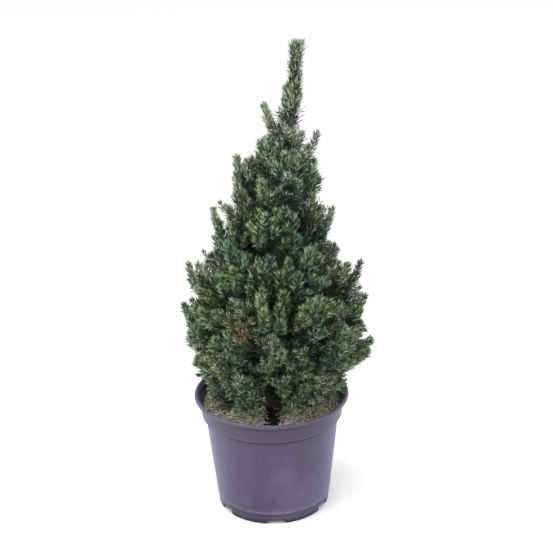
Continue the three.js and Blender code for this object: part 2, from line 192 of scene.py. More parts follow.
camera = bpy.data.objects.new("camera", bpy.data.cameras.new("camera"))
camera.data.lens = view["lens"]
camera.data.sensor_width = 36
pitch = math.radians(view["pitch"])
camera.location = (view["target"][0] * mm, -view["distance"] * math.cos(pitch) * mm,
                   (view["target"][2] + view["distance"] * math.sin(pitch)) * mm)
camera.rotation_mode = "XYZ"
camera.rotation_euler = (math.pi / 2 - pitch, 0, 0)
camera.rotation_euler = (camera.rotation_euler.to_matrix()
                         @ Matrix.Rotation(math.radians(view["roll"]), 3, "Z")).to_euler()
bpy.context.scene.collection.objects.link(camera)
bpy.context.scene.camera = camera
print("camera is set")

floorSetup = {"half": 9000, "colour": "#f4f4f4", "roughness": 0.9}

floorMesh = bpy.data.meshes.new("floor")
half = floorSetup["half"] * mm
floorMesh.from_pydata([(x * half, y * half, 0) for x, y in ((-1, -1), (1, -1), (1, 1), (-1, 1))], [],
                      [(0, 1, 2, 3)])
floorMesh.materials.append(plainMaterial("matt white paper", floorSetup["colour"], floorSetup["roughness"]))
floor = bpy.data.objects.new("floor", floorMesh)
bpy.context.scene.collection.objects.link(floor)

# softboxes: place in metres, size, watts
studio = {
    "ambient": 1.0,
    "lamps": {
        "overhead": ((-0.3, -0.5, 2.2), 1.8, 34),
        "leftBox": ((-1.9, -0.9, 0.9), 2.0, 33),
        "rightBox": ((1.9, -0.8, 1.2), 2.0, 17.5),
    },
    "aim": (0, 0, 0.28),
}

world = bpy.data.worlds.new("studio")
world.use_nodes = True
world.node_tree.nodes["Background"].inputs["Color"].default_value = (1, 1, 1, 1)
world.node_tree.nodes["Background"].inputs["Strength"].default_value = studio["ambient"]
bpy.context.scene.world = world
for lampName, (place, size, watts) in studio["lamps"].items():
    lamp = bpy.data.objects.new(lampName, bpy.data.lights.new(lampName, "AREA"))
    lamp.data.size = size
    lamp.data.energy = watts
    lamp.location = place
    lamp.rotation_euler = (Vector(studio["aim"]) - Vector(place)).to_track_quat("-Z", "Y").to_euler()
    bpy.context.scene.collection.objects.link(lamp)
bpy.context.scene.view_settings.view_transform = "Standard"
print("lights and floor are set")


# pot: moulded polypropylene

pot = {
    "around": 280, "rimRadius": 95.3, "rimMouth": 91.8, "rimUnderside": 144.5, "height": 149.5,
    "collarTop": 88.4, "collarFoot": 86.9, "collarFootZ": 122.5, "collarEdge": 0.5,
    "bodyTop": 82.4, "bodyFoot": 70.8, "ringZ": 13.6, "bandTop": 69.5, "bandTopZ": 12.2,
    "footRadius": 66.8, "footRound": 2.4, "lipRound": 1.8, "wall": 1.8, "floor": 9,
    "notches": 6, "notchWidth": 20, "notchHeight": 6.5, "notchReach": 34, "notchTurn": 2,
    # how worn the wall is at each height, and how darkened: foot, ring, collar's edge, crease under the lip,
    # lip. The darkening is dried dirt splashed round the foot, and painted shade along the bottom edge, under
    # the ring, under the collar's edge and in the crease under the lip
    "wear": ((0, 0), (14.6, 0), (15.6, 0.22), (21, 0), (122.6, 0), (123.3, 0.1), (125, 0), (146, 0),
             (148.4, 0.1), (149.5, 0.28)),
    "dirt": ((0, 0.8), (3, 0.62), (8, 0.28), (11, 0.36), (12.6, 0.75), (14.2, 0), (114, 0), (119, 0.5),
             (122.5, 0.95), (122.9, 0), (136, 0), (140.5, 0.48), (144.6, 0.95), (145.2, 0)),
}


def arc(radius, z, size, fromDegrees, toDegrees, count):
    # points (radius + size cos a, z + size sin a) as a runs between two angles
    a = np.radians(np.linspace(fromDegrees, toDegrees, count))
    return np.stack([radius + size * np.cos(a), z + size * np.sin(a)], -1)


def between(a, b, count):
    # count points from a up to but not at b
    s = np.linspace(0, 1, count, endpoint=False)[:, None]
    return np.array(a) * (1 - s) + np.array(b) * s


def innerRadius(z):
    # the inner wall is the straight body line, less the wall
    share = (z - pot["ringZ"]) / (pot["collarFootZ"] - pot["ringZ"])
    return pot["bodyFoot"] + (pot["bodyTop"] - pot["bodyFoot"]) * share - pot["wall"]


def potProfile():
    # radius and height along the section: underside, foot, ring, wall, collar, lip, then down the inside
    p = SimpleNamespace(**pot)
    lip, foot, edge = p.lipRound, p.footRound, p.collarEdge
    notchEnd = p.footRadius - p.notchReach
    innerCollar = (p.collarTop - p.wall, p.rimUnderside - 3), (p.collarFoot - p.wall, p.collarFootZ + 2)
    innerTop = innerRadius(p.collarFootZ - 3), p.collarFootZ - 3
    innerFoot = innerRadius(p.floor + 3), p.floor + 3
    return np.concatenate([
        between((0.01, 0), (notchEnd, 0), 4), between((notchEnd, 0), (p.footRadius, 0), 10),
        arc(p.footRadius, foot, foot, -90, 0, 7),
        between((p.footRadius + foot + 0.1, foot + 0.6), (p.bandTop, p.bandTopZ - 0.4), 6),
        [[p.bandTop, p.bandTopZ], [p.bandTop + 0.2, p.bandTopZ + 0.15]],
        arc(p.bodyFoot - 0.35, p.ringZ - 0.35, 0.35, -60, 10, 4),
        [[p.bodyFoot + 0.02, p.ringZ + 0.5]],
        between((p.bodyFoot + 0.1, p.ringZ + 1.2), (p.bodyTop, p.collarFootZ - 1.3), 30),
        arc(p.bodyTop + 0.7, p.collarFootZ - 0.9, 0.7, 180, 95, 5),
        [[p.collarFoot - 0.9, p.collarFootZ - 0.1]],
        arc(p.collarFoot - edge, p.collarFootZ + edge, edge, -90, 0, 5),
        between((p.collarFoot + 0.05, p.collarFootZ + 1.2), (p.collarTop, p.rimUnderside - 2.2), 8),
        arc(p.collarTop + 1.1, p.rimUnderside - 1.1, 1.1, 180, 90, 5),
        [[p.rimRadius - lip - 2.5, p.rimUnderside]],
        arc(p.rimRadius - lip, p.rimUnderside + lip, lip, -90, 0, 6),
        arc(p.rimRadius - lip, p.height - lip, lip, 0, 90, 8),
        [[p.rimMouth + 0.9, p.height]],
        arc(p.rimMouth + 0.7, p.height - 0.7, 0.7, 100, 200, 6),
        between((p.rimMouth - 0.5, p.height - 1.6), innerCollar[0], 5),
        between(*innerCollar, 5), between(innerCollar[1], innerTop, 3), between(innerTop, innerFoot, 8),
        [[innerFoot[0] - 3, p.floor], [30, p.floor], [0.01, p.floor]],
    ])


def potPoints():
    # the section turned about Z; in a drainage notch nothing hangs lower than the notch's roof.
    # The wall is a little out of round, as a thin moulded wall is: radius + 0.22 cos(2a) + 0.1 cos(5a)
    profile = potProfile()
    pitch = 2 * np.pi / pot["notches"]
    a = circle(pot["around"])
    front = math.radians(pot["notchTurn"] - 90)
    turn = (a - front + pitch / 2) % pitch - pitch / 2
    halfTurn = pot["notchWidth"] / 2 / (pot["footRadius"] + pot["footRound"])
    inNotch = smoothStep(np.abs(turn), halfTurn + 0.012, halfTurn - 0.002)
    radius, z = profile[:, 0][:, None], profile[:, 1][:, None]
    outside = (np.arange(len(profile)) < len(profile) - 3)[:, None]
    roof = pot["notchHeight"] * inNotch * (outside & (radius > pot["footRadius"] - pot["notchReach"] - 1))
    outOfRound = 0.22 * np.cos(2 * a + 0.7) + 0.1 * np.cos(5 * a + 2.0)
    r = radius + outOfRound * smoothStep(z, 10, 110) * (radius > 20)
    return np.stack([r * np.cos(a), r * np.sin(a), np.maximum(z + 0 * r, roof)], -1)


def polypropylene():
    # recycled polypropylene, injection moulded: a dull purple-grey that shines softly where it is seen edge
    # on, with faint flow streaks, a browner collar, a scuffed lip and dried splashes round the foot, and
    # painted shade along the bottom edge, under the ring, under the collar's edge and under the lip
    material, tree, shader = newMaterial("recycled polypropylene, moulded")
    place = addNode(tree, "TexCoord")["Object"]
    height = addNode(tree, "SeparateXYZ", [place])["Z"]
    rise = addNode(tree, "Math", {"operation": "DIVIDE", 0: height, 1: pot["height"] * mm})[0]
    stretched = addNode(tree, "Mapping", {"Scale": (1, 1, 0.22), "Vector": place})["Vector"]
    # patterns about 26 mm, 90 mm, 8 mm and 1 mm across
    flow, dust, scuffs, grain = [
        addNode(tree, "TexNoise", {"Scale": scale, "Detail": detail, "Roughness": 0.65, "Vector": vector})[0]
        for scale, detail, vector in ((38, 4, stretched), (11, 6, place), (130, 5, place), (900, 2, place))]
    # how much there is of each layer: source, from, to, least and most
    flowShare, dustShare, inCollar, brownShare, scuffShare, splashShare, dull = [
        addNode(tree, "MapRange", amounts)[0]
        for amounts in ((flow, 0.36, 0.66), (dust, 0.48, 0.72, 0, 0.6), (height, 0.1222, 0.1228),
                        (dust, 0.3, 0.7, 0.5, 0.95), (scuffs, 0.32, 0.6), (scuffs, 0.25, 0.5, 0.5),
                        (dust, 0.3, 0.8, 0.33, 0.55))]
    bands = []
    for stops in (pot["wear"], pot["dirt"]):
        # an amount that changes with height, blended between its stops
        band = tree.nodes.new("ShaderNodeValToRGB")
        tree.links.new(rise, band.inputs["Fac"])
        elements = band.color_ramp.elements
        elements.remove(elements[0])
        for number, (level, amount) in enumerate(stops):
            element = elements.new(level / pot["height"]) if number else elements[0]
            element.position = level / pot["height"]
            element.color = (amount, amount, amount, 1)
        bands.append(band.outputs["Color"])
    # the near-black band is dried dirt round the foot, and painted shade along the bottom edge, under the
    # ring, under the collar's edge and under the lip
    collarShare, wearShare, dirt = [
        addNode(tree, "Math", {"operation": "MULTIPLY", 0: first, 1: second})[0]
        for first, second in ((inCollar, brownShare), (bands[0], scuffShare), (bands[1], splashShare))]
    colour = "#30263e"
    for share, layer in ((flowShare, "#392e4b"), (dustShare, "#625b74"), (collarShare, "#30283c"),
                         (wearShare, "#9a929c"), (dirt, "#1a171b")):
        colour = addNode(tree, "Mix", {"data_type": "RGBA", 0: share, 6: colour, 7: layer})[2]
    bump = addNode(tree, "Bump", {"Strength": 0.12, "Distance": 0.0004, "Height": grain})["Normal"]
    # the sheen is a haze of dust, pale where the wall turns away; the dirt and the painted shade are matt and
    # lose the gloss, which makes the painted shade darker still
    setUp(tree, shader, {
        "Base Color": colour, "Normal": bump, "IOR": 1.49,
        "Sheen Weight": 0.35, "Sheen Roughness": 0.4, "Sheen Tint": "#9a9ae0",
        "Roughness": addNode(tree, "Math", {"operation": "MAXIMUM", 0: dull, 1: dirt})[0],
        "Specular IOR Level": addNode(tree, "MapRange", (dirt, 0.3, 0.75, 0.5, 0))[0]})
    return material


potGrid = potPoints()
makePiece("pot_wall", potGrid.reshape(-1, 3), [ringFaces(*potGrid.shape[:2])], [polypropylene()],
          replaced=["pot"])
print("pot is made")


# what the frame gives: corners and triangles of a node, in millimetres

def cadTriangles(name):
    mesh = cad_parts[name].data
    mesh.calc_loop_triangles()
    points = np.empty(len(mesh.vertices) * 3, np.float32)
    mesh.vertices.foreach_get("co", points)
    picks = np.empty(len(mesh.loop_triangles) * 3, np.int32)
    mesh.loop_triangles.foreach_get("vertices", picks)
    return points.reshape(-1, 3)[picks].reshape(-1, 3, 3).astype(float) / mm


def cadCorners(name):
    return np.unique(np.round(cadTriangles(name).reshape(-1, 3), 2), axis=0)


def ripples(points, wavelength, seed, count=11):
    # a smooth uneven field from about -1 to 1: the sum of sine waves of about one length in random directions
    waves = np.random.default_rng(seed)
    ways = unit(waves.normal(size=(count, 3))) * 2 * np.pi / wavelength * waves.uniform(0.7, 1.4, (count, 1))
    return np.sin(points @ ways.T + waves.uniform(0, 2 * np.pi, count)).sum(-1) / math.sqrt(count)


def stemRings():
    # centre and mean radius of the trunk at each height where its mesh has a ring
    points = cadCorners("trunk")
    heights = np.unique(np.round(points[:, 2]))
    rings = [points[np.abs(points[:, 2] - z) < 1] for z in heights]
    rings = [ring for ring in rings if len(ring) >= 6]
    centres = np.array([(ring.min(0) + ring.max(0)) / 2 for ring in rings])
    reaches = [np.linalg.norm((ring - centre)[:, :2], axis=1).mean() for ring, centre in zip(rings, centres)]
    return centres, np.array(reaches)


stemCentres, stemRadii = stemRings()


def stemAt(z):
    # the stem's middle at height z, straight from ring to ring
    z = np.asarray(z, float)
    return np.stack([np.interp(z, stemCentres[:, 2], stemCentres[:, 0]),
                     np.interp(z, stemCentres[:, 2], stemCentres[:, 1]), z], -1)


# trunk and boughs, with the relief of their bark

wood = {
    "trunkSides": 48, "trunkSteps": 260, "below": 6, "lobes": 5, "lobeDepth": 1.6, "lobeHeight": 8,
    "scaleDepth": 0.55, "boughSides": 14, "boughSteps": 40, "boughFoot": 3.2, "boughTip": 1.3,
}


def bark():
    # thin scaly bark of a young spruce: grey-brown plates about 2 mm across with darker cracks, dry and matt
    material, tree, shader = newMaterial("spruce bark, young and scaly")
    place = addNode(tree, "TexCoord")["Object"]
    squeezed = addNode(tree, "Mapping", {"Scale": (1, 1, 0.45), "Vector": place})["Vector"]
    cells = addNode(tree, "TexVoronoi", {"Scale": 420, "Vector": squeezed})["Distance"]
    speck = addNode(tree, "TexNoise", {"Scale": 700, "Detail": 4, "Vector": place})["Fac"]
    tone = addNode(tree, "TexNoise", {"Scale": 90, "Detail": 3, "Vector": place})["Fac"]
    cracks = addNode(tree, "MapRange", (cells, 0.1, 0.55))[0]
    patches = addNode(tree, "MapRange", (tone, 0.3, 0.7, 0.6, 1.3))[0]
    plates = addNode(tree, "Mix", {"data_type": "RGBA", 0: cracks, 6: "#6b5a49", 7: "#3c3028"})[2]
    toned = addNode(tree, "Mix", {"data_type": "RGBA", "blend_type": "MULTIPLY", 0: 0.6, 6: plates,
                                  7: patches})[2]
    bump = addNode(tree, "Bump", {"Strength": 0.5, "Distance": 0.0006, "Height": speck})["Normal"]
    setUp(tree, shader, {"Base Color": toned, "Roughness": 0.86, "Normal": bump})
    return material


barkMaterial = bark()


def trunkTube():
    # one tube up the trunk's middle line: radius = stem radius + foot lobes * exp(-height) + bark scales
    z = np.linspace(stemCentres[0, 2] - wood["below"], stemCentres[-1, 2], wood["trunkSteps"])
    path = stemAt(z)
    soften = np.ones(15) / 15
    for axis in (0, 1):
        path[7:-7, axis] = np.convolve(path[:, axis], soften, "valid")
    radius = np.interp(z, stemCentres[:, 2], stemRadii)[:, None]
    a = circle(wood["trunkSides"])
    rise = np.maximum(z - stemCentres[0, 2], 0)[:, None]
    fading = np.exp(-rise / wood["lobeHeight"])
    lobes = wood["lobeDepth"] * np.cos(wood["lobes"] * a + 0.4 * np.sin(a)) * fading
    onSkin = np.stack([radius * np.cos(a), radius * np.sin(a), z[:, None] * 0.5 + 0 * a], -1)
    scales = 0.6 * np.abs(ripples(onSkin, 3.6, 5)) + 0.4 * ripples(onSkin, 1.9, 6)
    thin = np.clip(radius / 6, 0.15, 1)
    rings = radius + lobes * thin + wood["scaleDepth"] * scales * thin
    return sweep(path[None], rings[None], wood["trunkSides"])


trunkPoints, trunkFaces = trunkTube()
makePiece("trunk_bark", trunkPoints, trunkFaces, [barkMaterial], replaced=["trunk"])

nodeNames = sorted(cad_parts)
massNames = [name for name in nodeNames if name.startswith("foliage_")]
boughNames = [name for name in nodeNames if name.startswith("bough_")]


def massHeart(name):
    # middle of a mass: the mean of its triangles' middles, weighted by their area
    tris = cadTriangles(name)
    area = np.linalg.norm(np.cross(tris[:, 1] - tris[:, 0], tris[:, 2] - tris[:, 0]), axis=1)
    return (tris.mean(1) * area[:, None]).sum(0) / area.sum()


hearts = {name: massHeart(name) for name in massNames}


def boughPaths():
    # each limb: from the stem's middle, along its solid, to the middle of the mass it carries
    starts, middles, ends = [], [], []
    for name in boughNames:
        points = cadCorners(name)
        reach = np.linalg.norm(points[:, :2] - stemAt(points[:, 2])[:, :2], axis=1)
        order = np.argsort(reach)
        inner, outer = points[order[:5]].mean(0), points[order[-5:]].mean(0)
        starts.append(stemAt(inner[2] - 3))
        ends.append(hearts[name.replace("bough_", "foliage_")])
        middles.append((inner + outer) / 2 + (inner + outer - starts[-1] - ends[-1]) / 2)
    return bezier(np.array(starts), np.array(middles), np.array(ends), np.linspace(0, 1, wood["boughSteps"]))


# radius = taper * (1 + knots) + ripples of the bark, and half as thick again where a limb leaves the stem
limbPaths = boughPaths()
limbShare = np.linspace(0, 1, wood["boughSteps"])[None, :]
limbWidth = wood["boughFoot"] + (wood["boughTip"] - wood["boughFoot"]) * limbShare ** 0.8
knots = 0.12 * ripples(limbPaths, 9, 12) + 0.5 * np.exp(-limbShare / 0.06)
limbSkin = limbPaths[:, :, None, :] + 2.2 * heading(circle(wood["boughSides"]))
limbRadii = limbWidth[..., None] * (1 + knots[..., None]) + 0.22 * ripples(limbSkin, 2.4, 9)
limbPoints, limbFaces = sweep(limbPaths, np.maximum(limbRadii, 0.5), wood["boughSides"])
makePiece("bough_bark", limbPoints, limbFaces, [barkMaterial], replaced=boughNames)
print("trunk and", len(boughNames), "boughs are made")


# shoots: where the twigs of each mass grow and how they bend

growth = {
    "seed": 4021,
    # shoots over a mass: samples to a square millimetre, gap between shoots' ends, how far they stand out
    "samples": 0.045, "spacing": 12, "needleReach": 6, "shootLength": (28, 40),
    # how far a sample looks for a mass in front of it, and how far down it may face
    "hideProbe": 10, "hideReach": 7, "hideRange": 75, "hiddenShare": 0.78,
    "exposure": -0.35, "skirtExposure": -0.75, "skirtSag": 7, "sagFrom": 178, "sagTo": 152,
    # drawn-out tips
    "spikeRatio": 1.05, "spikeLength": (46, 58), "tuftReach": 8, "tipClear": 16, "tipSway": 12,
    "sideShare": 0.84, "branchSteps": 12,
    # side twigs: chances of none, one and two, where along a shoot they stand, and how long they are
    "lateralChance": (0.5, 0.4, 0.1), "lateralPlace": (0.3, 0.78), "lateralLength": (13, 20),
    # twigs inside, about half of them in the deep green of old growth that also serves as painted shade, and
    # twigs on the stem, where they are longer at heights where the crown is wide
    "innerPerMass": 36, "innerDepth": (0.3, 0.82), "innerLength": 22, "innerGreen": 0.5,
    "stemFrom": 165, "stemTo": 505, "stemCount": 380, "stemLength": (16, 30),
    "stemReach": ((170, 1.5), (230, 2.0), (330, 1.8), (430, 1.0), (505, 0.6)),
    # the browned patch, the openings, the rim that low shoots keep within, and the skirt's parting in front
    "brownPlace": (-26, -80, 264), "brownReach": (8, 16, 20), "brownNeedles": 0.5, "gapDrop": 0.4,
    "rimZ": 186, "rimMiddle": 4, "rimReach": 84, "partHalf": 13, "partFront": -25, "partBelow": 192,
}

# tips given one by one, at the crown's two sides and over gaps: x, y, z, and how far each leans out as it
# rises
placedTips = np.array([
    (-3, 0, 518, 0.33), (-35, 0, 456, 0.13), (61, 0, 483, 0.3), (64, 0, 426, 0.6), (-64, 0, 392, 0.24),
    (-42, 4, 379, 0.1), (63, 0, 390, 0.02), (78, 0, 390, 0.26), (-69, 0, 336, 0.14), (78, 0, 329, 0.11),
    (-97, 0, 325, 0.18), (-84, 0, 323, 0.19), (-74, 0, 322, 0.1), (111, 0, 322, 0.35), (84, 0, 322, 0.12),
    (-105, 0, 272, 0.24), (116, 0, 278, 0.29), (-99, 0, 254, 0.5), (117, 0, 236, 1.2), (127, 0, 219, 1.7),
    (-95, 0, 197, 1.8), (124, 0, 204, 1.5), (-92, 0, 187, 1.8), (-36, 0, 435, 0.05), (-30, 0, 411, 0.1),
    (57, 0, 450, 0.25), (44, 0, 482, 0.35), (-8, 0, 475, 0.1), (4, 0, 478, 0.05), (49, 0, 466, 0.35),
    (-94, 0, 277, 0.3), (-86, 0, 274, 0.25), (-97, 0, 191, 1.8), (113, 0, 258, 0.6), (112, 0, 244, 0.7),
    (12, -84, 302, 0.3), (14, -88, 284, 0.5), (24, -66, 352, 0.2), (7, -60, 343, 0.15), (13, -66, 335, 0.2),
    (2, -56, 352, 0.15), (17, -74, 313, 0.3),
    (-66, -10, 307, 0.3), (-60, -14, 320, 0.2), (-57, 0, 374, 0.2), (-63, 0, 357, 0.15), (104, 0, 190, 1.6),
    (121, -4, 209, 1.7), (127, 0, 216, 1.6), (123, 0, 199, 1.4),
])

# openings at the crown's sides where the sky shows through from front to back: x, z and how wide each is
skyGaps = np.array([(-38, 396, 9), (64, 397, 9), (64, 369, 6), (-17, 457, 7), (-53, 387, 6), (-108, 238, 9),
                    (108, 290, 6), (12, 498, 10), (-10, 494, 8), (-44, 400, 9), (-24, 456, 7), (79, 351, 9)])

# the tips at the crown's two sides stand a little before and behind each other, along the line of sight
sway = np.where(placedTips[:, 1] == 0, growth["tipSway"] * np.sin(placedTips[:, 2] * 7), 0)
placedTips[:, 1:3] += sway[:, None] * [1, -growth["gapDrop"]]

outerShoot, tipShoot, sideShoot, innerShoot, carrier, limb = range(6)
chance = np.random.default_rng(growth["seed"])
up = np.array([0.0, 0.0, 1.0])


def away(points):
    # level direction from the stem to each point
    flat = points - stemAt(points[:, 2])
    flat[:, 2] = 0
    return unit(flat)


def spikes(name):
    # tips drawn out of a mass: corners further from its heart than every corner that they share an edge with
    corners, index = np.unique(np.round(cadTriangles(name).reshape(-1, 3), 2), axis=0, return_inverse=True)
    index = index.reshape(-1, 3)
    reach = np.linalg.norm(corners - hearts[name], axis=1)
    pairs = np.concatenate([index[:, [0, 1]], index[:, [1, 2]], index[:, [2, 0]]])
    pairs = np.concatenate([pairs, pairs[:, ::-1]])
    neighbour = np.zeros(len(corners))
    np.maximum.at(neighbour, pairs[:, 0], reach[pairs[:, 1]])
    way = unit(corners - hearts[name])
    facing = (way * away(corners)).sum(1) * 0.75 + way[:, 2] * 0.6
    ratio = np.where(facing > 0.1, reach / neighbour, 0)
    return corners[ratio > min(growth["spikeRatio"], np.sort(ratio)[-3])]


def surfaceSamples(name):
    # points dealt evenly over a mass, with the way each one faces: a + u (b - a) + v (c - a) in triangles
    # that are picked by their area
    tris = cadTriangles(name)
    cross = np.cross(tris[:, 1] - tris[:, 0], tris[:, 2] - tris[:, 0])
    area = np.linalg.norm(cross, axis=1) / 2
    count = int(area.sum() * growth["samples"])
    pick = chance.choice(len(tris), count, p=area / area.sum())
    u, v = chance.random(count), chance.random(count)
    flip = u + v > 1
    u, v = np.where(flip, 1 - u, u), np.where(flip, 1 - v, v)
    tri = tris[pick]
    points = tri[:, 0] + u[:, None] * (tri[:, 1] - tri[:, 0]) + v[:, None] * (tri[:, 2] - tri[:, 0])
    return points, unit(cross[pick])


tierMasses = [name for name in massNames if name not in ("foliage_leader", "foliage_peak")]
plantMasses = tierMasses + ["foliage_peak"]
tierOf = [name.split("_")[1] for name in plantMasses]

# how far the drawn-out tips of a tier lean out for their rise
tipLean = {"skirt": 2.6, "low": 1.1, "middle": 0.4, "shoulder": 0.22, "upper": 0.24, "top": 0.3, "peak": 0.45}


def inParting(points):
    # where the skirt parts in front, down to the soil
    x, y, z = points.T
    return (np.abs(x) < growth["partHalf"]) & (y < growth["partFront"]) & (z < growth["partBelow"])


def tipsOf():
    # for each mass its drawn-out tips and their leans; beside placed tips, those at the two sides give way
    nearest = [np.linalg.norm(place - np.array([hearts[name] for name in plantMasses]), axis=1).argmin()
               for place in placedTips[:, :3]]
    found, leans = [], []
    for mass, name in enumerate(plantMasses):
        tips = spikes(name)
        own = placedTips[np.array(nearest) == mass]
        tips = tips[~inParting(tips)]
        if len(own):
            tips = tips[np.abs(away(tips)[:, 0]) < growth["sideShare"]]
        found.append(np.concatenate([tips, own[:, :3]]))
        leans.append(np.concatenate([np.full(len(tips), tipLean[tierOf[mass]]), own[:, 3]]))
    return found, leans


massSpikes, massLeans = tipsOf()
massSamples = [surfaceSamples(name) for name in plantMasses]
samplePoints = np.concatenate([points for points, _ in massSamples])
sampleWays = np.concatenate([ways for _, ways in massSamples])
sampleMass = np.repeat(np.arange(len(plantMasses)), [len(points) for points, _ in massSamples])


def openToSky():
    # a sample is hidden where another mass lies just in front of it, or where it faces down or inwards
    probe = samplePoints + sampleWays * growth["hideProbe"]
    hidden = np.zeros(len(samplePoints), bool)
    for mass in range(len(plantMasses)):
        own = sampleMass == mass
        close = np.linalg.norm(samplePoints - samplePoints[own].mean(0), axis=1) < growth["hideRange"]
        others = samplePoints[~own & close]
        near = np.linalg.norm(probe[own][:, None] - others[None], axis=2).min(1)
        hidden[own] = near < growth["hideReach"]
    facing = (sampleWays * away(samplePoints)).sum(1) * 0.75 + sampleWays[:, 2] * 0.45
    least = np.where(np.array(tierOf)[sampleMass] == "skirt", growth["skirtExposure"], growth["exposure"])
    # an opening runs level from side to side, and drops a little from front to back
    seen = samplePoints[:, ::2] + samplePoints[:, 1:2] * [0, growth["gapDrop"]]
    inGap = (np.linalg.norm(seen[:, None] - skyGaps[None, :, :2], axis=2) < skyGaps[:, 2]).any(1)
    hidden &= chance.random(len(hidden)) >= growth["hiddenShare"]
    return (facing > least) & ~inParting(samplePoints) & ~inGap & ~hidden


def overRim(points, reach):
    # low places that lie further out than reach
    x, y, z = points.T
    return (z < growth["rimZ"]) & (np.hypot(x - growth["rimMiddle"], y) > reach)


def thinOut(points, spacing):
    # points in their order, each kept if it lies no nearer than spacing to one kept before
    chosen = [0]
    for i, point in enumerate(points):
        if np.min(((points[chosen] - point) ** 2).sum(1)) > spacing ** 2:
            chosen.append(i)
    return np.array(chosen)


ends = samplePoints - sampleWays * growth["needleReach"]
# the lowest shoots hang over the rim
ends[:, 2] -= growth["skirtSag"] * smoothStep(ends[:, 2], growth["sagFrom"], growth["sagTo"])
candidates = chance.permutation(len(samplePoints))
candidates = candidates[openToSky()[candidates]]
allSpikes = np.concatenate(massSpikes)
tipGap = np.linalg.norm(ends[candidates][:, None] - allSpikes[None], axis=2).min(1)
# the drawn-out tips stand alone
candidates = candidates[(tipGap > growth["tipClear"]) & ~overRim(ends[candidates], growth["rimReach"])]
chosen = candidates[thinOut(ends[candidates], growth["spacing"])]
print("shoots:", len(allSpikes), "tips and", len(chosen), "over the masses")


def drawnOut(target, lean, length):
    # a shoot up to just under a tip, leaning out by lean for each 1 of rise, and twice that lower down
    out, lean = away(target), lean[:, None]
    jitter = chance.normal(size=target.shape) * 0.05
    last = unit(out * lean + up + jitter)
    first = unit(out * (2 * lean + 0.2) + up + jitter)
    end = target - last * growth["tuftReach"]
    return end - (first + last) * length * 0.5, end - last * length * 0.5, end


def branchesOf(mass):
    # the branches inside a mass: from its heart out to the foot of each tip's shoot, bending upwards
    foot = tipShoots[mass][0]
    heart = np.repeat(hearts[plantMasses[mass]][None], len(foot), 0)
    length = np.linalg.norm(foot - heart, axis=1, keepdims=True)
    return heart, (heart + foot) / 2 + away(foot) * length * 0.10 - up * length * 0.13, foot


tipShoots = [drawnOut(tips, leans, chance.uniform(*growth["spikeLength"], (len(tips), 1)))
             for tips, leans in zip(massSpikes, massLeans)]
branchShare = np.linspace(0, 1, growth["branchSteps"])
branches = [branchesOf(mass) for mass in range(len(plantMasses))]
branchPaths = [bezier(a, b, c, branchShare) for a, b, c in branches]


def stemToHeart():
    # masses with no bough of their own hang on a twig straight from the stem
    starts, middles, lasts = [], [], []
    for name in plantMasses:
        if name.replace("foliage_", "bough_") not in boughNames:
            heart = hearts[name]
            reach = np.linalg.norm((heart - stemAt(heart[2]))[:2])
            starts.append(stemAt(heart[2] - 14 - reach * 0.7))
            lasts.append(heart)
            middles.append((starts[-1] + heart) / 2 + away(heart[None])[0] * reach * 0.15)
    return bezier(np.array(starts), np.array(middles), np.array(lasts), branchShare)


shoots = {"start": [], "bend": [], "end": [], "mass": [], "kind": []}


def addShoots(start, bend, end, mass, kind):
    # each shoot is a curve given by its start, bend and end
    for key, value in zip(("start", "bend", "end"), (start, bend, end)):
        shoots[key].append(value)
    shoots["mass"].append(np.broadcast_to(mass, len(start)))
    shoots["kind"].append(np.full(len(start), kind))


# how steeply the shoots of a tier turn up: nearly level at the skirt, upright at the top
steepness = {"skirt": 0.1, "low": 0.4, "middle": 0.65, "shoulder": 1.0, "upper": 1.3, "top": 1.5, "peak": 1.5}


def upturned(target, facing, steep, length):
    # a shoot that ends at target: it starts out level and then turns up
    out = away(target)
    jitter = chance.normal(size=target.shape) * 0.16
    last = unit(out * 0.5 + up * steep + facing * 0.3 + jitter)
    first = unit(out * 0.9 + up * steep * 0.45 + facing * 0.3 + jitter)
    return target - (first + last) * length * 0.5, target - last * length * 0.5, target


for mass in range(len(plantMasses)):
    own = chosen[sampleMass[chosen] == mass]
    heart = hearts[plantMasses[mass]]
    over = upturned(ends[own], sampleWays[own], steepness[tierOf[mass]],
                    chance.uniform(*growth["shootLength"], (len(own), 1)))
    addShoots(*over, mass, outerShoot)
    addShoots(*tipShoots[mass], mass, tipShoot)
    addShoots(*branches[mass], mass, limb)
    # a carrier twig joins each shoot to the nearest place on the branches, below it rather than above
    joints = branchPaths[mass].reshape(-1, 3)
    gap = over[0][:, None] - joints[None]
    root = joints[(np.linalg.norm(gap, axis=2) + 0.6 * np.maximum(4 - gap[:, :, 2], 0)).argmin(1)]
    addShoots(root, 2 * over[0] - over[1], over[0], mass, carrier)
    # twigs inside the mass, which close the view through it; about half wear the deep green of old growth,
    # which also serves as painted shade
    points, ways = massSamples[mass]
    inner = chance.choice(len(points), growth["innerPerMass"], replace=False)
    depth = chance.uniform(*growth["innerDepth"], (len(inner), 1))
    innerEnd = points[inner] * depth + heart * (1 - depth)
    innerWay = unit(away(innerEnd) + up * chance.uniform(0.2, 1.4, (len(inner), 1)))
    innerStart = innerEnd - innerWay * growth["innerLength"]
    addShoots(innerStart, (innerStart + innerEnd) / 2 - up * 3, innerEnd, mass, innerShoot)


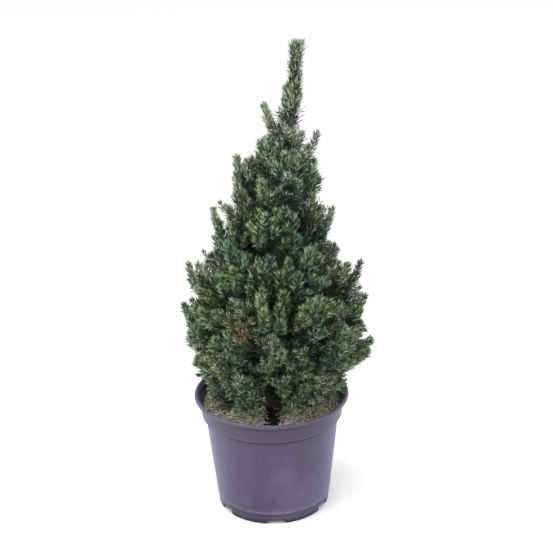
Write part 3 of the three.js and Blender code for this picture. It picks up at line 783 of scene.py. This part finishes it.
def stemSprays():
    # short twigs on the stem between the boughs; about half wear the deep green of old growth, which also
    # serves as painted shade
    z = chance.uniform(growth["stemFrom"], growth["stemTo"], growth["stemCount"])
    foot = stemAt(z)
    way = unit(heading(chance.uniform(0, 2 * np.pi, len(z)), chance.uniform(0.4, 1.5, len(z))))
    reach = np.interp(z, *zip(*growth["stemReach"]))[:, None]
    end = foot + way * chance.uniform(*growth["stemLength"], (len(z), 1)) * reach
    masses = np.array([hearts[name] for name in plantMasses])
    nearest = np.linalg.norm(end[:, None] - masses[None], axis=2).argmin(1)
    return foot + way * 3, (foot + end) / 2 - up * 2, end, nearest


addShoots(*stemSprays(), innerShoot)
grown = {key: np.concatenate(value) for key, value in shoots.items()}


def addLaterals():
    # side twigs: each leaves its shoot part of the way along, half forwards and half sideways, and turns up
    number = chance.choice(3, len(grown["start"]), p=growth["lateralChance"])
    number[grown["kind"] != outerShoot] = 0
    which = np.repeat(np.arange(len(number)), number)
    share = chance.uniform(*growth["lateralPlace"], (len(which), 1))
    root, along = onCurve(*(grown[key][which] for key in ("start", "bend", "end")), share)
    sideways = unit(np.cross(along, chance.normal(size=along.shape)))
    way = unit(along * 0.7 + sideways * 0.6 + up * 0.25)
    length = chance.uniform(*growth["lateralLength"], (len(which), 1))
    end = root + way * length + up * length * 0.08
    keep = ~overRim(end, growth["rimReach"] + 4)
    return [part[keep] for part in (root, root + way * length * 0.5, end, grown["mass"][which],
                                    np.full(len(which), sideShoot))]


for key, value in zip(grown, addLaterals()):
    grown[key] = np.concatenate([grown[key], value])
print("with side twigs:", len(grown["start"]))


# needles

needle = {
    "length": 12.2, "width": 0.98, "widest": 0.4, "curl": 0.05, "keel": 0.5, "turn": 137.5,
    "turnSpread": 0.25, "openSpread": 8, "tuftOpen": (4, 46), "tuftLength": 0.8, "liftUp": 0.2,
    # the last of these is the share of living needles painted deep green as painted shade among the lit ones
    "freshFrom": 0.6, "freshShare": 0.75, "oldTo": 0.2, "oldMore": 0.25, "darkShare": 0.3,
    # share of needles painted pale at each height: partly their pale undersides, partly painted glints where
    # needles catch the light
    "paleShare": ((200, 0.27), (250, 0.21), (300, 0.14), (370, 0.14), (430, 0.26), (500, 0.5), (560, 0.48),
                  (585, 0.3)),
}

# what each kind of shoot wears: millimetres of twig to a needle, opening at its foot and tip, needles in its
# tuft, and length of needle against the usual
wear = {
    outerShoot: (0.52, 50, 33, 12, 1.0),
    sideShoot: (0.52, 50, 33, 10, 0.88),
    tipShoot: (0.26, 52, 42, 24, 1.08),
    innerShoot: (1.5, 62, 45, 0, 1.0),
    carrier: (2.2, 62, 52, 0, 0.9),
    limb: (0.7, 64, 50, 0, 0.95),
}

# needle colours: old inner growth that also serves as painted shade, four greens of the year, pale undersides
# that also serve as painted glints, fresh ends, browned needles
needleTints = {
    "spruce needles, old and deep": ("#22362a", 0.5),
    "spruce needles, mid green": ("#3d5c3c", 0.4),
    "spruce needles, olive": ("#536a38", 0.4),
    "spruce needles, blue green": ("#3c6154", 0.38),
    "spruce needles, grey green": ("#64806c", 0.38),
    "spruce needles, pale underside": ("#a5b495", 0.36),
    "spruce needles, fresh ends": ("#879a58", 0.4),
    "spruce needles, fresh green": ("#5f8d58", 0.4),
    "spruce needles, browned": ("#7a664a", 0.55),
}
deepAndShadeTint, midTint, oliveTint, blueTint, greyTint, paleAndGlintTint, freshTint, springTint, brownTint = range(9)
# needles are waxy and dull, and shine softly along their length
tintMaterials = [plainMaterial(name, *tint, IOR=1.45) for name, tint in needleTints.items()]

# patches of one growth: place, reach, and how much more olive and more blue they are
tintPlaces = (((32, -48, 362), 26, -1.3, 1.3), ((-16, -25, 440), 30, 1.2, -0.4),
              ((24, -66, 343), 16, 1.6, -1.0), ((-30, -60, 360), 20, 1.2, -0.5),
              ((20, -45, 395), 16, 1.2, -0.5))


def tintOfShoots():
    # each shoot takes one green; greens drift over the crown in patches a hand wide, and one patch is browned
    middle = (grown["start"] + grown["end"]) / 2
    drift = ripples(middle, 95, 71) + chance.normal(size=len(middle)) * 0.55
    cool = ripples(middle, 80, 37) + chance.normal(size=len(middle)) * 0.55
    for place, reach, olive, blue in tintPlaces:
        near = np.linalg.norm(middle - place, axis=1) < reach
        drift, cool = drift + olive * near, cool + blue * near
    tint = np.full(len(middle), midTint)
    tint[drift > 0.35] = oliveTint
    tint[cool > 0.65] = blueTint
    tint[cool < -0.95] = greyTint
    showing = np.isin(grown["kind"], (outerShoot, tipShoot, sideShoot))
    scorched = np.linalg.norm((middle - growth["brownPlace"]) / growth["brownReach"], axis=1) < 1
    tint[showing & scorched] = brownTint
    # twigs inside the crown take the deep green: old growth, and painted shade for the crown's inside
    old = (grown["kind"] != innerShoot) | (chance.random(len(middle)) > growth["innerGreen"])
    tint[~showing & old] = deepAndShadeTint
    return tint


shootTint = tintOfShoots()
freshness = 0.5 + 0.35 * ripples(grown["end"], 60, 53) + chance.normal(size=len(shootTint)) * 0.2
freshness = np.clip(freshness, 0, 1)


def growNeedles(line, tint, fresh, size, step, openFoot, openTip, tuftCount):
    # needles wind round each twig by the golden turn and open less towards its end, where a tuft closes it.
    # line holds the twigs' starts, bends and ends, and the rest one value to a twig.
    # Returns foot, way, outward way, length and tint of every needle, and the twig it is on
    a, b, c = line
    length = np.linalg.norm(b - a, axis=1) + np.linalg.norm(c - b, axis=1)
    count = np.maximum((length / step).astype(int), 6)
    which = np.repeat(np.arange(len(a)), count)
    order = np.arange(count.sum()) - np.repeat(np.cumsum(count) - count, count)
    share = (order + chance.random(len(order))) / count[which]
    tuft = np.repeat(np.arange(len(a)), tuftCount)
    isTuft = np.concatenate([np.zeros(len(which), bool), np.ones(len(tuft), bool)])
    share = np.concatenate([share, np.full(len(tuft), 0.995)])[:, None]
    order = np.concatenate([order, np.arange(len(tuft)) * 1.0])
    which = np.concatenate([which, tuft])
    foot, along = onCurve(a[which], b[which], c[which], share)
    side = unit(np.cross(along, [0.31, 0.62, 0.72]))
    other = np.cross(along, side)
    turn = np.radians(order * needle["turn"]) + chance.normal(size=len(order)) * needle["turnSpread"]
    turn = turn + which * 1.7
    share = share[:, 0]
    opening = openFoot[which] + (openTip - openFoot)[which] * share ** 1.6
    opening = np.where(isTuft, chance.uniform(*needle["tuftOpen"], len(which)), opening)
    opening = np.radians(opening + chance.normal(size=len(which)) * needle["openSpread"])[:, None]
    outwards = np.cos(turn)[:, None] * side + np.sin(turn)[:, None] * other
    way = unit(np.cos(opening) * along + np.sin(opening) * outwards + up * needle["liftUp"])
    long = size[which] * (0.85 + 0.2 * np.sin(np.pi * share ** 0.8)) * chance.uniform(0.82, 1.12, len(which))
    long *= np.where(isTuft, needle["tuftLength"], 1)
    spared = (tint[which] == brownTint) & (chance.random(len(which)) > growth["brownNeedles"])
    colour = np.where(spared, oliveTint, tint[which])
    living = (colour != deepAndShadeTint) & (colour != brownTint)
    draw = chance.random(len(which))
    new = chance.random(len(which)) < fresh[which] * needle["freshShare"]
    new &= living & (share > needle["freshFrom"])
    colour[new] = np.where(colour[new] == blueTint, springTint, freshTint)
    # the pale needles are partly pale undersides and partly painted glints of light
    colour[living & (draw < np.interp(foot[:, 2], *zip(*needle["paleShare"])))] = paleAndGlintTint
    # a share of the living needles is painted deep green as painted shade among the lit ones
    colour[living & (draw > 1 - needle["darkShare"])] = deepAndShadeTint
    old = living & (share < needle["oldTo"] + needle["oldMore"] * chance.random(len(which)))
    colour[old] = deepAndShadeTint
    return foot, way, outwards, long, colour, which


def needleMeshes(foot, way, outwards, long):
    # one needle is four faces: a foot, two edge corners at its widest place, lifted so that it has a keel,
    # and a tip. The edge corners stand out from the twig, so that the needle curves in towards its tip
    width = needle["width"] / 2 * (0.85 + 0.3 * ((long * 7.3) % 1))
    flank = unit(np.cross(way, outwards))
    face = np.cross(flank, way)
    belly = foot + way * (long * needle["widest"])[:, None] + outwards * (long * needle["curl"])[:, None]
    edge = belly + face * (width * needle["keel"])[:, None]
    points = np.stack([foot, edge - flank * width[:, None], edge + flank * width[:, None],
                       foot + way * long[:, None]], axis=1).reshape(-1, 3)
    one = np.array([[0, 2, 1], [3, 1, 2], [0, 1, 3], [0, 3, 2]])
    faces = (one[None] + 4 * np.arange(len(foot))[:, None, None]).reshape(-1, 3)
    return points, faces


worn = np.array([wear[kind] for kind in sorted(wear)])[grown["kind"]].T
size = needle["length"] * worn[4] * chance.uniform(0.88, 1.1, len(grown["start"]))
foot, way, outwards, long, colour, which = growNeedles(
    (grown["start"], grown["bend"], grown["end"]), shootTint, freshness, size, *worn[:3], worn[3].astype(int))


def pieceFor(name):
    # the needles of a tier are one piece; the two widest tiers are two each, and the peak goes with the top
    tier, *number = name.split("_")[1:]
    if tier in ("low", "middle"):
        return tier + ("_a" if int(number[0]) <= 3 else "_b")
    return "top" if tier == "peak" else tier


pieceOfMass = np.array([pieceFor(name) for name in plantMasses])
needlePiece = pieceOfMass[grown["mass"][which]]
for pieceName in sorted(set(pieceOfMass)):
    own = needlePiece == pieceName
    points, faces = needleMeshes(foot[own], way[own], outwards[own], long[own])
    nodes = [name for name, piece in zip(plantMasses, pieceOfMass) if piece == pieceName]
    makePiece("needles_" + pieceName, points, [faces], tintMaterials, replaced=nodes,
              materialIndex=np.repeat(colour[own], 4))
    print(pieceName, len(faces), "triangles of needles")


# leader: the long-needled top shoot, with short shoots that hug it

leader = {
    "stretches": 3, "neck": 26, "topGap": 27, "underTip": 7.75, "fresh": 0.4,
    "sideShoots": 34, "sideLength": (13, 19), "sideLean": 0.36,
    # what they wear: length of needle, millimetres of twig to one, opening at foot and tip, tuft's needles
    "stemWear": (12.5, 0.32, 38, 30, 0), "tipWear": (12.5, 2, 30, 20, 16),
    "sideWear": (10.5, 0.45, 48, 30, 9),
    # bunches: how many, from and to what rise, round from and to what turn in degrees, lean and length
    "bunches": ((9, 11, 30, 110, 260, 0.62, 16), (7, 18, 46, -60, 60, 0.5, 16),
                (5, 76, 79, 0, 290, 0.36, 15)),
}
leaderLow, leaderHigh = (corner[2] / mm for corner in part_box("foliage_leader"))


def leaderLine():
    # the stem above the crown, in stretches of a curve each, which passes through its stretch's middle:
    # bend = 2 middle - (start + end) / 2
    line = stemAt(np.linspace(leaderLow - leader["neck"], leaderHigh - leader["underTip"],
                              leader["stretches"] * 2 + 1))
    return line[0:-1:2], line[1::2] * 2 - (line[0:-1:2] + line[2::2]) / 2, line[2::2]


def huggingShoots(rootZ, turn, lean, length):
    # shoots that leave the stem at turn radians round it and rise along it, leaning out
    root, out = stemAt(rootZ), heading(turn)
    along = unit(stemAt(rootZ + 10) - root)
    return root, root + unit(along * 0.8 + out) * length * 0.5, root + unit(along + out * lean) * length


def leaderSides():
    # side shoots wound round the leader by the golden turn, and bunches of them at its foot and tip
    count = leader["sideShoots"]
    rootZ = np.linspace(leaderLow - leader["neck"], leaderHigh - leader["topGap"], count)
    turn = np.arange(count) * math.radians(needle["turn"]) + 0.6
    length = chance.uniform(*leader["sideLength"], (count, 1))
    blocks = [huggingShoots(rootZ, turn, leader["sideLean"], length)]
    for many, low, high, fromTurn, toTurn, lean, length in leader["bunches"]:
        bunchZ = leaderLow + chance.uniform(low, high, many)
        bunchTurn = np.radians(np.linspace(fromTurn, toTurn, many))
        length = length * chance.uniform(0.85, 1.15, (many, 1))
        blocks.append(huggingShoots(bunchZ, bunchTurn, lean, length))
    return [np.concatenate(column) for column in zip(*blocks)]


def clothe(line, tint, *worn):
    # needles along shoots that all wear the same
    return growNeedles(line, *(np.full(len(line[0]), value) for value in (tint, leader["fresh"], *worn)))


mainLine, sideLine = leaderLine(), leaderSides()
blocks = [clothe(mainLine, greyTint, *leader["stemWear"]),
          clothe([part[-1:] for part in mainLine], greyTint, *leader["tipWear"]),
          clothe(sideLine, oliveTint, *leader["sideWear"])]
leaderParts = [np.concatenate(column) for column in zip(*blocks)]
points, faces = needleMeshes(*leaderParts[:4])
makePiece("needles_leader", points, [faces], tintMaterials, replaced=["foliage_leader"],
          materialIndex=np.repeat(leaderParts[4], 4))


# twigs: the thin wood that carries the needles

twig = {
    "sides": 3, "steps": 3, "foot": 0.55, "tip": 0.32,
    "branchSides": 6, "branchFoot": 1.3, "branchTip": 0.5, "wobble": 0.5,
}


def tapered(paths, foot, tip):
    # radii along paths, from foot to tip in even steps
    return np.broadcast_to(np.linspace(foot, tip, paths.shape[1]), paths.shape[:2])


clad = grown["kind"] != limb
cladLine = [grown[key][clad] for key in ("start", "bend", "end")]
fineLine = [np.concatenate(pair) for pair in zip(cladLine, sideLine)]
finePaths = bezier(*fineLine, np.linspace(0, 1, twig["steps"]))
twigPoints, twigFaces = sweep(finePaths, tapered(finePaths, twig["foot"], twig["tip"]), twig["sides"])
# young bark: smooth, dull and olive brown, almost lost among the needles
twigMaterial = plainMaterial("spruce twig bark, young olive brown", "#59523a", 0.75)
makePiece("twigs_fine", twigPoints, twigFaces, [twigMaterial])
allBranches = np.concatenate(branchPaths + [stemToHeart()])
wobble = np.stack([ripples(allBranches, 14, seed) for seed in (21, 22, 23)], -1)
branchRadii = tapered(allBranches, twig["branchFoot"], twig["branchTip"])
branchPoints, branchFaces = sweep(allBranches + twig["wobble"] * wobble, branchRadii, twig["branchSides"])
makePiece("twigs_branches", branchPoints, branchFaces, [barkMaterial])
print("leader and twigs are made")


# soil: dry peat with moss, straw and fallen needles

soil = {
    # one of these is half the width of the strip in front that is painted dark as shadow
    "rings": 64, "around": 200, "bite": 0.5, "wetHalf": 8,
    "lumps": ((30, 1.3), (11, 0.8), (4.2, 0.5)), "edgeRise": 2.5, "edgeFrom": 58, "edgeTo": 86,
    "crumbs": 2600, "crumbSize": (0.7, 2.4), "chips": 26, "chipSize": (2.2, 4.5), "chipFlat": 0.32,
    "straws": 700, "strawLength": (7, 34), "strawRadius": 0.4, "strawTip": 0.18, "strawSteps": 5,
    "fallen": 1500, "fallenLength": (7, 11), "litterZ": 130, "litterReach": 0.96,
    "tufts": 22, "tuftBlades": 30, "tuftLength": (4, 9), "tuftSpread": 3.0,
}
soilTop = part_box("soil")[1][2] / mm


def soilEdge(height):
    # inner radius of the collar at a height, where the soil meets it
    share = np.clip((height - pot["collarFootZ"]) / (pot["rimUnderside"] - pot["collarFootZ"]), 0, 1)
    return pot["collarFoot"] + (pot["collarTop"] - pot["collarFoot"]) * share - pot["wall"] + soil["bite"]


def soilHeight(x, y):
    # the CAD soil's level, raised a little at the wall, plus waves and lumps at three sizes
    flat = np.stack([x, y, 0 * x], -1)
    atWall = smoothStep(np.hypot(x, y), soil["edgeFrom"], soil["edgeTo"])
    level = soilTop - 1.2 + soil["edgeRise"] * atWall
    return level + sum(size * ripples(flat, wave, 90 + i) for i, (wave, size) in enumerate(soil["lumps"]))


def soilSurface():
    # rings from the middle out to the wall, then down inside the pot; a point closes each end
    share = np.linspace(1 / soil["rings"], 1, soil["rings"])[:, None]
    a = circle(soil["around"])
    x, y = soilEdge(soilTop) * share * np.cos(a), soilEdge(soilTop) * share * np.sin(a)
    rings = [np.stack([x, y, soilHeight(x, y)], -1)]
    foot, floorZ = pot["collarFootZ"], pot["floor"] + 4
    for z, edge in ((foot + 4, soilEdge(foot + 4)), (foot - 2, innerRadius(foot - 2) + soil["bite"]),
                    (floorZ, innerRadius(floorZ) + soil["bite"])):
        rings.append((edge * heading(a) + [0, 0, z])[None])
    rings = np.concatenate(rings)
    middle = [[0, 0, float(soilHeight(np.zeros(1), np.zeros(1))[0])], [0, 0, rings[-1, 0, 2]]]
    j = np.arange(soil["around"])
    j2 = (j + 1) % soil["around"]
    last = rings.shape[0] * soil["around"]
    lastRow = last - soil["around"]
    caps = [np.stack([0 * j + last, j, j2], -1), np.stack([0 * j + last + 1, lastRow + j2, lastRow + j], -1)]
    quads = ringFaces(rings.shape[0], soil["around"])[:, ::-1]
    return np.concatenate([rings.reshape(-1, 3), middle]), [quads, np.concatenate(caps)]


def scattered(count, within=0.97):
    # places dealt evenly over the soil, clear of the strip of painted shadow
    radius = soilEdge(soilTop) * within * np.sqrt(chance.random(count))
    x, y = (heading(chance.uniform(0, 2 * np.pi, count)) * radius[:, None]).T[:2]
    shadowStrip = (np.abs(x) < soil["wetHalf"] + 1) & (y < 0)
    x = np.where(shadowStrip, x + np.sign(x) * 2 * soil["wetHalf"], x)
    return np.stack([x, y, soilHeight(x, y)], -1)


def lumps(centres, sizes, flatness):
    # uneven eight-faced grains: six points out along turned axes, each by its own chance
    ways = np.array([[1, 0, 0], [0, 1, 0], [-1, 0, 0], [0, -1, 0], [0, 0, 1], [0, 0, -1]], float)
    turn = chance.uniform(0, 2 * np.pi, (len(centres), 1))
    out = ways[None] * chance.uniform(0.55, 1.0, (len(centres), 6, 1)) * [1, 1, flatness]
    tilt = chance.normal(size=(len(centres), 1, 2)) * 0.35
    out[..., 2] += (out[..., :2] * tilt).sum(-1)
    x, y, z = np.moveaxis(out, -1, 0)
    spun = np.stack([np.cos(turn) * x - np.sin(turn) * y, np.sin(turn) * x + np.cos(turn) * y, z], -1)
    points = centres[:, None] + sizes[:, None, None] * spun
    one = np.array([[0, 1, 4], [1, 2, 4], [2, 3, 4], [3, 0, 4], [1, 0, 5], [2, 1, 5], [3, 2, 5], [0, 3, 5]])
    return points.reshape(-1, 3), (one[None] + 6 * np.arange(len(centres))[:, None, None]).reshape(-1, 3)


def peat():
    # dried peat compost: a crumbly brown with near-black hollows and a greenish film of moss; where the skirt
    # parts in front, a strip of it is bare and painted near black as the shadow in the parting
    material, tree, shader = newMaterial("peat compost, dried on top")
    place = addNode(tree, "TexCoord")["Object"]
    parts = addNode(tree, "SeparateXYZ", [place])
    crumb = addNode(tree, "TexNoise", {"Scale": 420, "Detail": 5, "Roughness": 0.7, "Vector": place})["Fac"]
    film = addNode(tree, "TexNoise", {"Scale": 55, "Detail": 5, "Vector": place})["Fac"]
    aside = addNode(tree, "Math", {"operation": "ABSOLUTE", 0: parts["X"]})[0]
    wetHalf = soil["wetHalf"] * mm
    dryShare, filmShare, across, inFront = [
        addNode(tree, "MapRange", amounts)[0]
        for amounts in ((crumb, 0.38, 0.66), (film, 0.5, 0.7, 0, 0.4), (aside, wetHalf * 1.5, wetHalf),
                        (parts["Y"], 0.01, -0.01))]
    # painted shadow: a near-black strip in front, where the skirt parts
    shadowStrip = addNode(tree, "Math", {"operation": "MULTIPLY", 0: across, 1: inFront})[0]
    colour = "#3d362e"
    for share, layer in ((dryShare, "#baa990"), (filmShare, "#a59b87"), (shadowStrip, "#15120f")):
        colour = addNode(tree, "Mix", {"data_type": "RGBA", 0: share, 6: colour, 7: layer})[2]
    bump = addNode(tree, "Bump", {"Strength": 0.8, "Distance": 0.0012, "Height": crumb})["Normal"]
    setUp(tree, shader, {"Base Color": colour, "Roughness": 0.95, "Normal": bump})
    return material


points, faces = soilSurface()
makePiece("soil_surface", points, faces, [peat()], replaced=["soil"])

# grains of peat and chips of bark: dry and matt, each a plain colour
grainTints = {
    "peat grain, dark": "#4b4237", "peat grain, brown": "#877462", "peat grain, dry": "#cac0a5",
    "moss on peat": "#9fa37b", "composted bark, brown": "#846454", "composted bark, reddish": "#8f6c5e",
}
grainMaterials = [plainMaterial(name, tint, 0.95) for name, tint in grainTints.items()]
crumbSize = chance.uniform(*soil["crumbSize"], soil["crumbs"])
chipSize = chance.uniform(*soil["chipSize"], soil["chips"])
crumbPoints, crumbFaces = lumps(scattered(soil["crumbs"]), crumbSize, 0.8)
chipPoints, chipFaces = lumps(scattered(soil["chips"], 0.93) + [0, 0, 1.0], chipSize, soil["chipFlat"])
grainColour = np.concatenate([chance.choice(4, soil["crumbs"], p=(0.34, 0.3, 0.24, 0.12)),
                              chance.choice([4, 5], soil["chips"], p=(0.75, 0.25))])
makePiece("soil_grains", np.concatenate([crumbPoints, chipPoints]),
          [crumbFaces, chipFaces + len(crumbPoints)], grainMaterials, smooth=False,
          materialIndex=np.repeat(grainColour, 8))


litterEdge = soilEdge(soil["litterZ"]) * soil["litterReach"]    # litter lies within this of the middle


def strawLines():
    # straws and fine dead roots: nearly level curves that lie on the crumbs
    foot = scattered(soil["straws"], 0.94)
    level = heading(chance.uniform(0, 2 * np.pi, len(foot)))
    long = chance.uniform(*soil["strawLength"], (len(foot), 1)) * chance.random((len(foot), 1))
    way = level * (long + 5)
    crossing = (foot[:, 0] < 0) != (foot[:, 0] + way[:, 0] < 0)
    way[crossing, 0] *= -1    # none across the strip of painted shadow
    middle, last = foot + way * 0.5 + chance.normal(size=foot.shape) * [1.6, 1.6, 0.5], foot + way
    for place in (foot, middle, last):
        reach = np.linalg.norm(place[:, :2], axis=1, keepdims=True)
        place[:, :2] *= np.minimum(1, litterEdge / reach)
        place[:, 2] = soilHeight(place[:, 0], place[:, 1]) + chance.uniform(0.3, 1.7, len(place))
    return bezier(foot, middle, last, np.linspace(0, 1, soil["strawSteps"]))


def fallenNeedles():
    # dropped needles lie every way on the soil
    foot = scattered(soil["fallen"], 0.95) + [0, 0, 0.5] + chance.random((soil["fallen"], 1)) * [0, 0, 1.2]
    way = unit(heading(chance.uniform(0, 2 * np.pi, len(foot)), chance.normal(size=len(foot)) * 0.18))
    long = chance.uniform(*soil["fallenLength"], len(foot))
    beyond = np.linalg.norm((foot + way * long[:, None])[:, :2], axis=1) > litterEdge
    way[beyond] *= -1    # none through the wall
    return foot, way, np.broadcast_to(up, way.shape), long


def mossTufts():
    # small tufts of moss and seedling grass, blades fanned out from a middle
    heart = scattered(soil["tufts"], 0.85)
    foot = np.repeat(heart, soil["tuftBlades"], 0)
    out = heading(chance.uniform(0, 2 * np.pi, len(foot)))
    lean = chance.uniform(0.1, 1.1, (len(foot), 1))
    foot = foot + out * chance.random((len(foot), 1)) * soil["tuftSpread"]
    return foot, unit(up + out * lean), out, chance.uniform(*soil["tuftLength"], len(foot))


strawPaths = strawLines()
strawPoints, strawFaces = sweep(strawPaths, tapered(strawPaths, soil["strawRadius"], soil["strawTip"]), 3)
blades = [np.concatenate(pair) for pair in zip(fallenNeedles(), mossTufts())]
bladePoints, bladeFaces = needleMeshes(*blades)
# bleached straw and grass, and needles that have lost their green: dry and dull
litterTints = {
    "dry straw": "#f0f0f0", "dead root": "#d1ba9e", "fallen needle, grey brown": "#ceb8a0",
    "fallen needle, olive": "#d8d5ae", "moss blade": "#e3eaad", "dry grass blade": "#f0f0e8",
}
litterMaterials = [plainMaterial(name, tint, 0.8) for name, tint in litterTints.items()]
strawColour = chance.choice([0, 1], soil["straws"], p=(0.6, 0.4))
fallenColour = chance.choice([0, 2, 3], soil["fallen"], p=(0.3, 0.4, 0.3))
tuftColour = np.repeat(chance.choice([4, 5], soil["tufts"], p=(0.6, 0.4)), soil["tuftBlades"])
strawQuads, strawCaps = strawFaces
litterIndex = np.concatenate([np.repeat(strawColour, len(strawQuads) // soil["straws"]),
                              np.repeat(strawColour, len(strawCaps) // soil["straws"]),
                              np.repeat(np.concatenate([fallenColour, tuftColour]), 4)])
makePiece("soil_litter", np.concatenate([strawPoints, bladePoints]),
          [strawQuads, strawCaps, bladeFaces + len(strawPoints)], litterMaterials,
          materialIndex=litterIndex)
print("soil is made")
